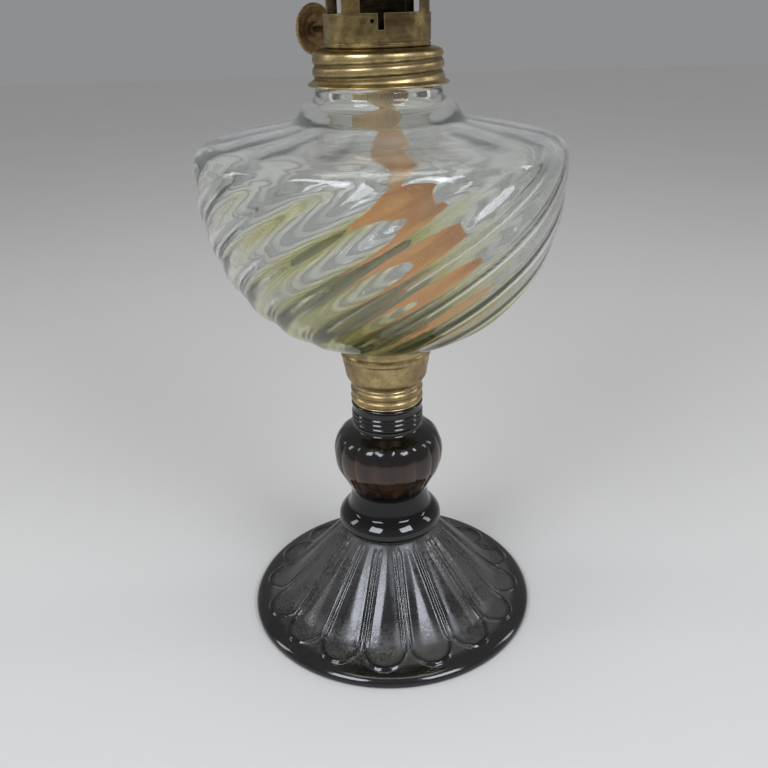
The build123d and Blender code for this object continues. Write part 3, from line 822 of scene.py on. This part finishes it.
def fontLines():
    # outer line from the peg up to the lip, and inner line from there down to the floor
    radius, widest, wall, depth = (fontSizes[k] for k in ("radius", "widest", "wall", "bowlDepth"))
    low, top, collar = bottomOf("font"), topOf("font"), bottomOf("collar") + collarSizes["lift"]
    bowl = low + fontSizes["peg"]               # underside of the bowl
    peg = [(0, low, 0), (10.0, low, 0), (10.7, low + .9, .6), (10.7, bowl, 0), (16.2, bowl, 0)]
    skin = bowlLine(radius, depth, bowl + 1.2, 66)
    shoulder = [(radius, widest, 0), (radius, 183.4, .6), (radius - .7, 185.9, .9),
                (radius - 3.6, 188.0, .9), (radius - 9, 189.4, .8), (44, 191.4, .5), (33, 193.3, .7),
                (28.8, 194.3, .8), (27.0, 196.2, .8), (25.6, 198.6, .7), (24.4, 199.7, .7),
                (22.4, 200.4, .7), (21.2, 201.6, .7), (20.8, collar - .7, .6), (19.0, collar, .4),
                (19.0, top - .8, .5), (18.2, top, .6), (17.4, top - .6, .5)]
    inside = [(17.4, top - 1.0, 0), (17.4, 199.4, .6), (24.0, 193.6, .8), (30, 191.2, .5),
              (radius - 8.5, 187.0, .8), (radius - 3.6, 184.6, .9), (radius - wall, widest, 0)]
    cavity = bowlLine(radius - wall, depth - wall, bowl + 3.8, 50)[::-1]
    floor = [(cavity[-1][0] - 3, bowl + 3.2), (6, bowl + 3.0), (0, bowl + 3.0)]
    outer = evenLine(softLine(peg), 3)[:-1] + skin + evenLine(softLine(shoulder), 1.1, least=0.45)[1:]
    return outer, evenLine(softLine(inside), 2.5, least=1.0)[:-1] + cavity + evenLine(floor, 3)


def swirlTree():
    # ribs that turn round the bowl and fade out on the shoulder, with the mould's unevenness
    tree, given = startTree("swirlSkin", "swirls", "swirlHeight", "innerHeight", "swirlTurn", "swirlLow",
                            "swirlHigh", "ripple", "seamHeight")
    angle, radius, height = placeFields(tree)
    low, high = given["swirlLow"], given["swirlHigh"]
    share = (height - low) / (high - low)
    ribs = (angle - share * given["swirlTurn"] / 360) * given["swirls"]
    wave = (ribs * 2 * pi).cos()                        # round ribs, each one a lens for what is inside
    window = height.rise(low, low + 9) * (1 - height.rise(high - 3, high + 3, 0.0, 0.85))
    window = window * (1 - height.rise(190, 194))
    place = flow(tree.nodes.new("GeometryNodeInputPosition"))
    uneven = noise(place, 62.0, 2.0, 0.5) - 0.5
    skin, seams = readMark(tree, "skin"), fontSizes["seams"]
    seam = (((angle + fontSizes["seamTurn"] / 360) * seams + 0.5).fract() - 0.5).abs() * 2 * pi * radius / seams
    seam = (1 - seam.rise(0.2, 1.5)) * height.band(low, low + 8, 190, 194)
    outside = wave * given["swirlHeight"] * 0.5 * window + seam * given["seamHeight"]
    onBowl = height.band(low, low + 10, 192, 197)
    inside = wave * given["innerHeight"] * 0.5 * window     # the ribs stand out inside as well
    amount = outside * skin + inside * (1 - skin) + uneven * given["ripple"] * 2 * onBowl
    return endTree(pushOut(given["Geometry"], amount), given)


def makeFont(material):
    outer, inner = fontLines()
    steps = fontSizes["steps"]
    piece = turned("fontGlass", outer + inner, steps, sharp=0)
    addRelief(piece, 0, (len(outer) - 1) * steps + 1, swirlTree(), fontSizes, material)
    dress(piece, "lamp", material, "font")


oilSizes = {"space": 0.25, "climb": 0.5, "steps": 128}     # space to the glass, and climb up it


def makeOil(material):
    # pool of old oil on the floor of the font, with its edge drawn up the glass a little
    low, top = spanOf("oil_residue")
    reach, level = reachOf("oil_residue") - oilSizes["space"], top - oilSizes["climb"]
    line = [(0, low + .15, 0), (reach - 8.0, low + .2, .5), (reach - 2.2, low + 2.2, .6), (reach, top, 0),
            (reach - .9, level + .15, .7), (reach - 3, level, .6), (0, level, 0)]
    piece = turned("oilPool", softLine(line), oilSizes["steps"], sharp=0)
    dress(piece, "lamp", material, "oil_residue")


# collar

collarSizes = {
    "lift": 0.9,                                # the flange's seat over the lowest glass under it
    "wall": 20.7, "throat": 16.05, "sheet": 0.5,
    "pitch": 3.75, "depth": 0.75, "width": 0.75,    # of the rolled groove
    "start": 4.1, "low": 1.6, "high": 8.4, "steps": 192,
}


def threadTree():
    # a rolled groove that climbs the collar as a right-hand thread
    tree, given = startTree("rolledThread", "pitch", "depth", "width", "base", "start", "low", "high")
    angle, height = placeFields(tree)[::2]
    level = height - given["base"]
    climb = (level - given["start"]) / given["pitch"] - angle
    aside = (0.5 - (climb.fract() - 0.5).abs()) * given["pitch"]
    groove = ((aside / given["width"]) ** 2 * -1).math("EXPONENT")
    window = level.band(given["low"] - 0.8, given["low"] + 0.4, given["high"] - 0.4, given["high"] + 0.8)
    groove = groove * window * readMark(tree, "skin")
    shape = keepMark(given["Geometry"], "groove", groove)
    return endTree(pushOut(shape, groove * given["depth"] * -1), given)


def makeCollar(material):
    low, top, reach = bottomOf("collar") + collarSizes["lift"], topOf("collar") - .05, reachOf("collar")
    wall, throat, sheet = (collarSizes[k] for k in ("wall", "throat", "sheet"))
    skin = [(reach, low + .05, 0), (reach - .05, low + .5, .5),
            (wall + 1.1, low + 1.3, .8), (wall + .8, low + 2.6, .6), (wall + .7, top - 3.4, .5),
            (wall + .4, top - .9, .9), (wall - 2.0, top, .8), (throat + .3, top, .3)]
    inside = [(throat, top - .3, .5), (throat, top - 8.5, 0), (throat + sheet, top - 8.5, 0),
              (throat + sheet, top - 1.2, .3), (wall - sheet - 1.6, top - 1.2, .7),
              (wall - sheet, top - 2.8, .6), (wall - sheet, low + 1.2, .5), (reach - .4, low, 0)]
    outer, steps = evenLine(softLine(skin), 0.25), collarSizes["steps"]
    piece = turned("threadedCollar", outer + softLine(inside), steps, sharp=0)
    addRelief(piece, 0, len(outer) * steps, threadTree(), {**collarSizes, "base": low}, material, 45)
    dress(piece, "lamp", material, "collar")


# burner

drumSizes = {
    "radius": 17.2, "sheet": 0.5, "skirt": 10.0,
    "posts": 4, "postWidth": 6.5, "postTurn": 62.0,
    "notchWidth": 1.9, "notchDepth": 4.7, "notchTurn": -86.0,
    "peephole": 0.7, "peepTurn": -95.0, "peepDrop": 2.2,    # a small round hole under the windows
    "wickSlot": (27.4, 4.0), "steps": 144,
}


def makeDrum(material):
    low, top = spanOf("burner_drum")
    r, sheet, sill = drumSizes["radius"], drumSizes["sheet"], low + drumSizes["skirt"]
    wall = [(0, low, 0), (r - .6, low, .0), (r - .05, low + .35, .7), (r - .05, low + 1.0, .5),
            (r - .35, low + 1.5, .6), (r - .05, low + 2.0, .6), (r - .05, sill - 1.1, .4),
            (r, sill - .8, .4), (r, sill, 0), (r, top, 0), (r - sheet, top, 0), (r - sheet, low + 1, .5),
            (r - sheet - .5, low + sheet, .5), (0, low + sheet, 0)]
    drum = turned("burnerDrum", evenLine(softLine(wall), 2.0), drumSizes["steps"], sharp=40)
    cutters, half = [], 180 / drumSizes["posts"]
    opening = half - degrees(angleOf(drumSizes["postWidth"] / 2 / r))
    for k in range(drumSizes["posts"]):         # a window between each two posts
        middle = drumSizes["postTurn"] + half + 2 * half * k
        spots = [(radius, radians(middle + share * opening))
                 for radius, shares in ((r + 3, (-1, -.5, 0, .5, 1)), (r - 4, (1, .5, 0, -.5, -1)))
                 for share in shares]
        corners = [(radius * cos(a), radius * sin(a)) for radius, a in spots]
        cutters.append(prism("window", corners, sill, top + 1))
    cutters.append(prism("notch", boxCorners(6, drumSizes["notchWidth"], r, drumSizes["notchTurn"]),
                         sill - drumSizes["notchDepth"], sill + .5))
    hole = prism("hole", discCorners(drumSizes["peephole"], 0, 0), -3, 3)
    spot = Matrix.Translation(Vector((r, 0, sill - drumSizes["peepDrop"])) * mm)
    hole.data.transform(Matrix.Rotation(radians(drumSizes["peepTurn"]), 4, "Z") @ spot
                        @ Matrix.Rotation(radians(90), 4, "Y"))
    cutters.append(hole)
    cutters.append(prism("wickSlot", boxCorners(*drumSizes["wickSlot"]), low - 1, low + 1, burnerPlace))
    cutOut(drum, cutters)
    dress(drum, "burner", material, "burner_drum")


gallerySizes = {
    "sheet": 0.5, "throat": 16.0, "steps": 192,
    "vents": 20, "ventRadius": 1.3, "ventRings": (29.7, 33.9),      # the outer ring is set between the inner
}


def makeGallery(material):
    low, top = spanOf("gallery")
    r, sheet, throat = reachOf("gallery"), gallerySizes["sheet"], gallerySizes["throat"]
    line = [(throat, low, 0), (r - 1.4, low, .3), (r - .1, low + .2, .8), (r, low + 1.2, .6), (r, top - .2, .5),
            (r - .25, top, .5), (r - sheet, top - .2, .4), (r - sheet, low + sheet + .3, .6),
            (r - 1.4, low + sheet, .5), (27.6, low + sheet, .4), (27.3, low + sheet, .4),
            (throat, low + sheet, 0)]
    plate = turned("galleryPlate", softLine(line), gallerySizes["steps"], sharp=40)
    cutters, vents = [], gallerySizes["vents"]
    for shift, ring in zip((0.0, .5), gallerySizes["ventRings"]):
        for k in range(vents):
            a = 2 * pi * (k + shift) / vents
            disc = discCorners(gallerySizes["ventRadius"], ring * cos(a), ring * sin(a))
            cutters.append(prism("vent", disc, low - 1, low + 1))
    cutOut(plate, cutters)
    dress(plate, "burner", material, "gallery")


deflectorSizes = {"radius": 24.5, "flange": 2.5, "sheet": 0.5, "slot": 6.4, "slotLength": 28.6, "steps": 144}


def makeDeflector(material):
    # dome with pressed steps and a slot for the flame
    low, top = bottomOf("deflector"), topOf("deflector") - .3
    r, flange, sheet = (deflectorSizes[k] for k in ("radius", "flange", "sheet"))
    tall = top - low
    skin = [(r + flange, low + sheet, 0), (r + .2, low + sheet, .3), (r, low + 2.2, .5),
            (r - .2, low + .40 * tall, .6), (r - 1.5, low + .50 * tall, .6), (r - 1.9, low + .56 * tall, .6),
            (r - 4.2, low + .73 * tall, .9), (r - 8.2, low + .86 * tall, .7), (r - 12.5, low + .95 * tall, .8),
            (0, top, 0)]
    under = [(0, top - sheet, 0)] + [(x - sheet, z - sheet, soft) for x, z, soft in skin[1:-1][::-1]]
    under[-1] = (r - sheet, low, 0)
    outline = softLine(skin) + softLine(under) + [(r + flange, low)]
    dome = turned("flameDome", outline, deflectorSizes["steps"], sharp=40)
    slot, length = deflectorSizes["slot"], deflectorSizes["slotLength"]
    corners = [(side * (length / 2 - slot / 2 * (1 - cos(a))), slot / 2 * sin(a))
               for side in (1, -1) for a in [radians(side * (k * 22.5 - 90)) for k in range(9)]]
    cutOut(dome, [prism("slot", corners, low + .6 * tall, top + 5, burnerPlace)])
    dress(dome, "burner", material, "deflector")


def ribbonFaces(rows, around):
    # each row of points goes along the front and comes back along the rear; both ends are closed
    faces = []
    for row in range(rows - 1):
        a, b = row * around, (row + 1) * around
        faces += [[a + k, a + (k + 1) % around, b + (k + 1) % around, b + k] for k in range(around)]
    last = (rows - 1) * around
    for k in range(around // 2 - 1):
        faces.append([k, around - 1 - k, around - 2 - k, k + 1])
        faces.append([last + k, last + k + 1, last + around - 2 - k, last + around - 1 - k])
    return faces


prongSizes = {"width": 9.0, "thick": 0.5, "foot": 38.4, "grip": 38.3, "across": 6}


def makeProngs(material):
    # four spring fingers with a waisted plan and a curled tip
    width, thick, foot, grip, across = prongSizes.values()
    for number in range(1, 5):
        node = f"prong_{number}"
        low, top = spanOf(node)
        middle = (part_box(node)[0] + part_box(node)[1]) / 2
        turn, tall = atan2(middle.y, middle.x), top - low
        path = softLine([(foot + thick, low, 0), (grip + thick, low + .42 * tall, .7),
                         (grip + thick + .1, low + .68 * tall, .7), (grip + thick + 1.75, top - .1, 0)], 5)
        points = []
        for r, z in path:
            share = (z - low) / tall
            half = width / 2 * (1 - .22 * sin(pi * min(1.0, share * 1.25)) - .25 * share ** 8)
            turns = [turn + (k / across * 2 - 1) * half / r for k in range(across + 1)]
            points += [(r * cos(a), r * sin(a), z) for a in turns]
            points += [((r - thick) * cos(a), (r - thick) * sin(a), z) for a in turns[::-1]]
        faces = ribbonFaces(len(path), 2 * (across + 1))
        finger = meshPiece(f"springProng{number}", points, faces, sharp=45)
        dress(finger, "burner", material, node)


# wheel and wick

wheelSizes = {
    "radius": 8.5, "thick": 1.4, "hub": 2.5, "bore": 1.11, "teeth": 44, "tooth": 0.29, "steps": 132,
    "out": 32.6, "back": -4.4,              # its place along the shaft, and the shaft's behind the wick
    "shaft": 1.1, "shaftStart": -14.9,
}


def shaftPlace(start, level):
    # from upright on the origin to along the wheel shaft
    return (burnerPlace @ Matrix.Translation((start, wheelSizes["back"], level))
            @ Matrix.Rotation(radians(90), 4, "Y"))


def milledTree():
    # small upright teeth set round the rim of the wheel
    tree, given = startTree("milledRim", "teeth", "radius", "tooth", "thick")
    ring = addNode(tree, "GeometryNodeMeshCircle", Vertices=given["teeth"], Radius=given["radius"])
    tooth = addNode(tree, "GeometryNodeMeshCylinder", Vertices=6, Radius=given["tooth"], Depth=given["thick"])
    turn = addNode(tree, "ShaderNodeCombineXYZ", Z=placeFields(tree)[0] * 2 * pi)
    lift = addNode(tree, "ShaderNodeCombineXYZ", Z=given["thick"] * 0.5)
    raised = addNode(tree, "GeometryNodeSetPosition", Geometry=flow(ring), Offset=flow(lift))
    spread = addNode(tree, "GeometryNodeInstanceOnPoints", Points=flow(raised), Instance=flow(tooth),
                     Rotation=flow(turn))
    both = tree.nodes.new("GeometryNodeJoinGeometry")
    for shape in (given["Geometry"], flow(spread)):
        tree.links.new(shape.socket, both.inputs[0])
    return endTree(flow(both), given)


def makeWheel(material):
    r, thick, hub, bore = (wheelSizes[k] for k in ("radius", "thick", "hub", "bore"))
    rim = r - 1.2
    line = [(bore, -.6, 0), (hub - .3, -.6, .3), (hub, -.3, .5), (hub, .35, .5), (3.6, .4, .5), (4.2, .2, .6),
            (4.9, .2, .6), (5.5, .4, .5), (rim, .4, .5), (rim + .3, 0, .5), (r - .35, 0, .5), (r - .2, .25, .6),
            (r - .2, thick - .25, .6), (r - .35, thick, .5), (rim + .3, thick, .5), (rim, thick - .4, .5),
            (5.5, thick - .4, .5), (4.9, thick - .15, .6), (4.2, thick - .15, .6), (3.6, thick - .4, .5),
            (hub, thick - .35, .5), (hub, thick + .2, .4), (hub - .4, thick + .4, .5), (bore, thick + .4, 0)]
    wheel = turned("thumbWheel", softLine(line, 4), wheelSizes["steps"], sharp=45)
    runTree(wheel, milledTree(), {"teeth": wheelSizes["teeth"], "tooth": wheelSizes["tooth"] * mm,
                                  "radius": (r - .30) * mm, "thick": (thick - .3) * mm}, material)
    level = (bottomOf("thumbwheel") + topOf("thumbwheel")) / 2
    wheel.data.transform(shaftPlace(wheelSizes["out"], level) @ Matrix.Scale(1 / mm, 4))
    cleanMesh(wheel.data, 45)
    dress(wheel, "knob", material, "thumbwheel")

    r, start = wheelSizes["shaft"], wheelSizes["shaftStart"]
    length = wheelSizes["out"] + thick + .8 - start
    line = [(0, 0, 0), (r - .2, 0, .3), (r, .25, .5), (r, length - 1.0, .3), (r + .35, length - .7, .5),
            (r + .2, length - .1, .7), (0, length, 0)]
    shaft = turned("wheelShaft", softLine(line), 32, shaftPlace(start, level), sharp=40)
    dress(shaft, "knob", material, "wheel_shaft")


wickSizes = {
    "width": 25.0, "thick": 1.9, "ribs": 18, "ribHeight": 0.16,
    "straight": 196.0,          # the strip is straight above this height
    "reach": 21.0,              # how far the tail swings out under it
    "neckTurn": -30.0,          # turned about the upright just under the tube
    "tailTurn": 48.0,           # and down in the bowl
    "across": 72, "step": 0.8,  # points over the width, and millimetres between two rows
}


def wickPath():
    # middle line of the strip in the burner's own frame: (y, z), going down
    low, straight, reach = bottomOf("wick") + 1.0, wickSizes["straight"], wickSizes["reach"]
    swing = low + .42 * (straight - low)
    knots = [(0, topOf("wick") - .1), (0, 240), (0, 215), (0, straight + 7), (0, straight),
             (-.68 * reach, swing + 12), (-reach, swing - 6), (-.55 * reach, low + 3.0), (.2 * reach, low)]
    line = []
    for k in range(len(knots) - 1):
        a, b = knots[k], knots[k + 1]
        before, after = knots[max(0, k - 1)], knots[min(len(knots) - 1, k + 2)]
        length = sqrt((a[0] - b[0]) ** 2 + (a[1] - b[1]) ** 2)
        parts = max(2, round(length / wickSizes["step"]))
        line += [tuple(throughPoint(*four, n / parts) for four in zip(before, a, b, after))
                 for n in range(parts)]
    return line + [knots[-1]]


def throughPoint(before, a, b, after, t):
    # point at share t of a smooth curve from a to b
    return 0.5 * (2 * a + (b - before) * t + (2 * before - 5 * a + 4 * b - after) * t * t
                  + (3 * a - before - 3 * b + after) * t ** 3)


def smooth(start, end, value):
    # 0 before start, 1 after end
    share = min(1.0, max(0.0, (value - start) / (end - start)))
    return share * share * (3 - 2 * share)


def makeWick(material):
    size = wickSizes
    path = wickPath()
    points, strip, along = [], [], 0.0
    around = 2 * size["across"]
    for row, (y, z) in enumerate(path):
        before, after = path[max(0, row - 1)], path[min(len(path) - 1, row + 1)]
        run = Vector((0, after[0] - before[0], after[1] - before[1])).normalized()
        if row:
            along += sqrt((y - path[row - 1][0]) ** 2 + (z - path[row - 1][1]) ** 2)
        loose = min(1.0, max(0.0, (size["straight"] - 4 - z) / 50))
        turn = size["neckTurn"] * smooth(201, 193, z)
        turn += (size["tailTurn"] - turn) * smooth(186, 152, z)
        wide = Matrix.Rotation(radians(turn), 3, "Z") @ Vector((1, 0, 0))
        face = run.cross(wide).normalized()
        for k in range(around):
            front = k < size["across"]
            share = (k if front else around - 1 - k) / (size["across"] - 1) * 2 - 1
            rib = abs(sin(pi * size["ribs"] * (share + 1) / 2)) * size["ribHeight"]
            edge = sqrt(max(0.0, 1 - abs(share) ** 14))
            out = (size["thick"] / 2 - size["ribHeight"] + rib) * edge * (1 if front else -1)
            ragged = .35 * sin(along * 2.9 + share * 3) * sin(along * 1.3) * abs(share) ** 8 * loose
            cup = loose * 1.2 * share ** 2                      # the loose tail curls a little
            points.append(Vector((0, y, z)) + wide * (share * size["width"] / 2 + ragged) + face * (out - cup))
            strip.append((share * size["width"] / 2, along))
    piece = meshPiece("cottonWick", points, ribbonFaces(len(path), around), burnerPlace, 60, strip)
    dress(piece, "wick", material, "wick")


# chimney

chimneySizes = {"fitter": 38.0, "fitterHeight": 15.0, "mouth": 24.5, "wall": 1.8, "steps": 160}


def makeChimney(material):
    low, top = spanOf("chimney")
    r, mouth, wall = (chimneySizes[k] for k in ("fitter", "mouth", "wall"))
    bulge, fitter = reachOf("chimney") - .05, low + chimneySizes["fitterHeight"]
    skin = [(r, low + .6, .6), (r, fitter - 2, .6), (r + .8, fitter + 2, .8), (bulge - 2.4, fitter + 13, .9),
            (bulge + .45, fitter + 22, .9), (bulge + .45, fitter + 36, .9), (bulge - 5, fitter + 54, .9),
            (mouth + 8, fitter + 88, .9), (mouth + 2.0, fitter + 120, .9), (mouth - .1, fitter + 160, .8),
            (mouth, top - 1.0, .4), (mouth - .3, top, .6)]
    inside = [(x - wall, z, soft) for x, z, soft in skin[1:-2]][::-1]
    line = [(r - .8, low, 0), *skin, (mouth - wall + .3, top, .6), (mouth - wall, top - 1.0, .4), *inside,
            (r - wall, low + .6, .6), (r - 1.0, low, 0)]
    piece = turned("glassChimney", evenLine(softLine(line, 8), 2.0), chimneySizes["steps"], sharp=0)
    dress(piece, "chimney", material, "chimney")


# build it all

bpy.context.scene.view_settings.view_transform = "Standard"
makeCamera()
makeLights()
makeRoom()
print("camera, lights and floor ready")

oldBrass = agedBrass("oldBrass", (0.56, 0.44, 0.21), (0.25, 0.175, 0.085), 0.5, 0.32)
burnerBrass = agedBrass("burnerBrass", (0.60, 0.47, 0.20), (0.14, 0.095, 0.04), 0.7, 0.32)
sootyBrass = agedBrass("sootyBrass", (0.22, 0.165, 0.085), (0.055, 0.042, 0.028), 0.8, 0.45, 0.3)
wheelBrass = agedBrass("wheelBrass", (0.42, 0.28, 0.13), (0.20, 0.125, 0.06), 0.75, 0.5)
fontGlass, standGlass, chimneyGlass = clearGlass(), darkGlass(), flueGlass()
print("materials ready")

makeStand(standGlass)
makeConnector(oldBrass)
print("stand and connector ready")
makeFont(fontGlass)
makeOil(oldOil())
makeCollar(oldBrass)
print("font, oil and collar ready")
makeDrum(burnerBrass)
makeGallery(burnerBrass)
makeDeflector(burnerBrass)
makeProngs(burnerBrass)
makeWheel(wheelBrass)
makeWick(wickCotton())
makeChimney(chimneyGlass)
print("burner, wick and chimney ready")

plasterLook = plaster()
keptNodes = {"stem_plaster": plasterLook, "font_plaster": plasterLook, "collar_plaster": plasterLook,
             "burner_ferrule": burnerBrass, "wick_tube": sootyBrass, "ratchet_housing": sootyBrass,
             **{f"spur_wheel_{number}": sootyBrass for number in range(1, 5)}}
for node, material in keptNodes.items():
    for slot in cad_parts[node].material_slots:
        slot.material = material
